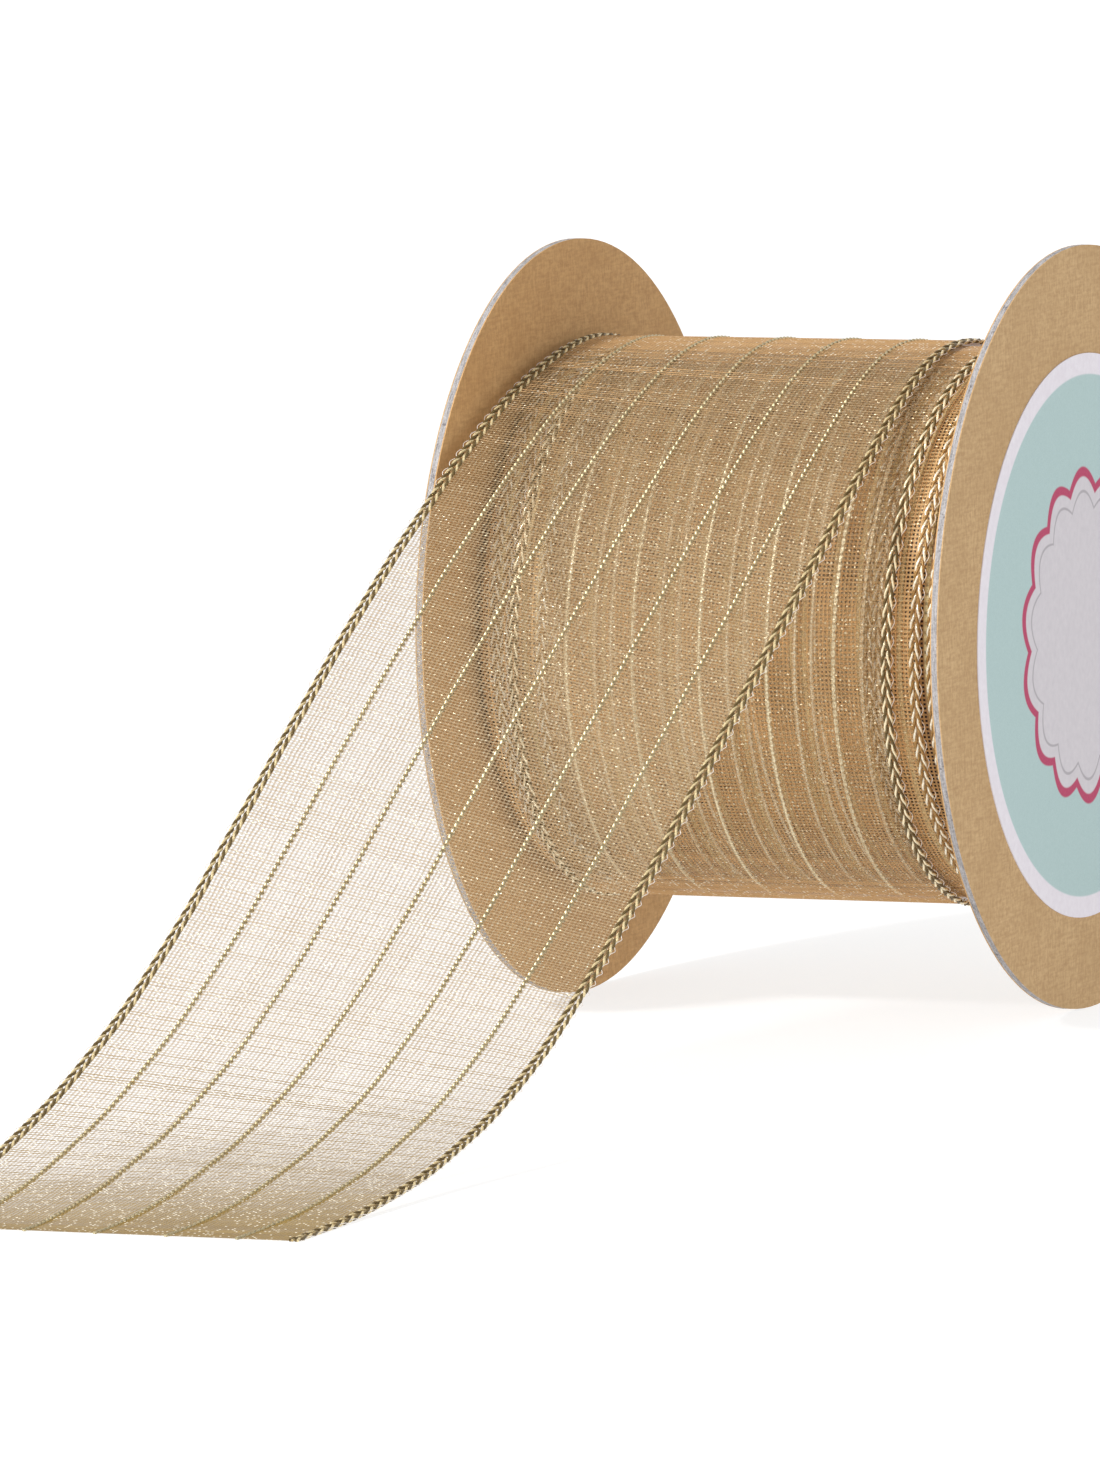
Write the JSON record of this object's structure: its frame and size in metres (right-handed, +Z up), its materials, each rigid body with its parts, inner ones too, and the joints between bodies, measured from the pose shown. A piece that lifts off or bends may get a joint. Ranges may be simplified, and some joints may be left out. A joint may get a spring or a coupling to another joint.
{
  "type": "ribbon spool",
  "caption": "Cardboard spool with a wound roll of sheer gold-striped gift ribbon, its free tail drawn off the top and lying on the floor in front.",
  "frame": {"origin": "on the spool's axis, halfway between the two flanges", "axes": "+X along the axis towards the labelled end, -Y the way the ribbon's tail is drawn off, +Z up; the flange rims rest on the plane z = -0.046 m"},
  "size_m": [0.0677, 0.2435, 0.092],
  "materials": {
    "kraft_paper": "uncoated brown kraft paper with fine fibres",
    "grey_board": "recycled grey board, fibrous where it is cut",
    "label_paper": "matte printed paper label",
    "glue": "dried hide-coloured glue",
    "tape": "clear adhesive tape",
    "sheer_ribbon": "sheer golden brown organza, plain weave",
    "selvedge_thread": "chained brown and gold metallic yarn",
    "gold_thread": "twisted gold metallic yarn"
  },
  "bodies": {
    "ribbon": {"outer_turn_web": "sheer_ribbon", "tail_web": "sheer_ribbon", "selvedge_left": "selvedge_thread", "selvedge_right": "selvedge_thread", "gold_stripe_1": "gold_thread", "gold_stripe_2": "gold_thread", "gold_stripe_3": "gold_thread", "gold_stripe_4": "gold_thread", "gold_stripe_5": "gold_thread"},
    "spool": {"core_ply_inner": "grey_board", "core_ply_middle": "grey_board", "core_ply_outer": "kraft_paper", "near_inner_facing": "kraft_paper", "near_flange_board": "grey_board", "near_outer_facing": "kraft_paper", "far_inner_facing": "kraft_paper", "far_flange_board": "grey_board", "far_outer_facing": "kraft_paper", "core_glue_near": "glue", "core_glue_far": "glue", "label": "label_paper", "ribbon_start_tape": "tape", "wound_turns_inner": "sheer_ribbon", "wound_turns_middle": "sheer_ribbon", "wound_turns_outer": "sheer_ribbon", "ribbon_under_turn": "sheer_ribbon"}
  },
  "joints": [
    {"name": "spool_turn", "type": "hinge", "parent": "ribbon", "child": "spool", "pos_m": [0, 0, 0], "axis": [1, 0, 0], "continuous": true}
  ]
}
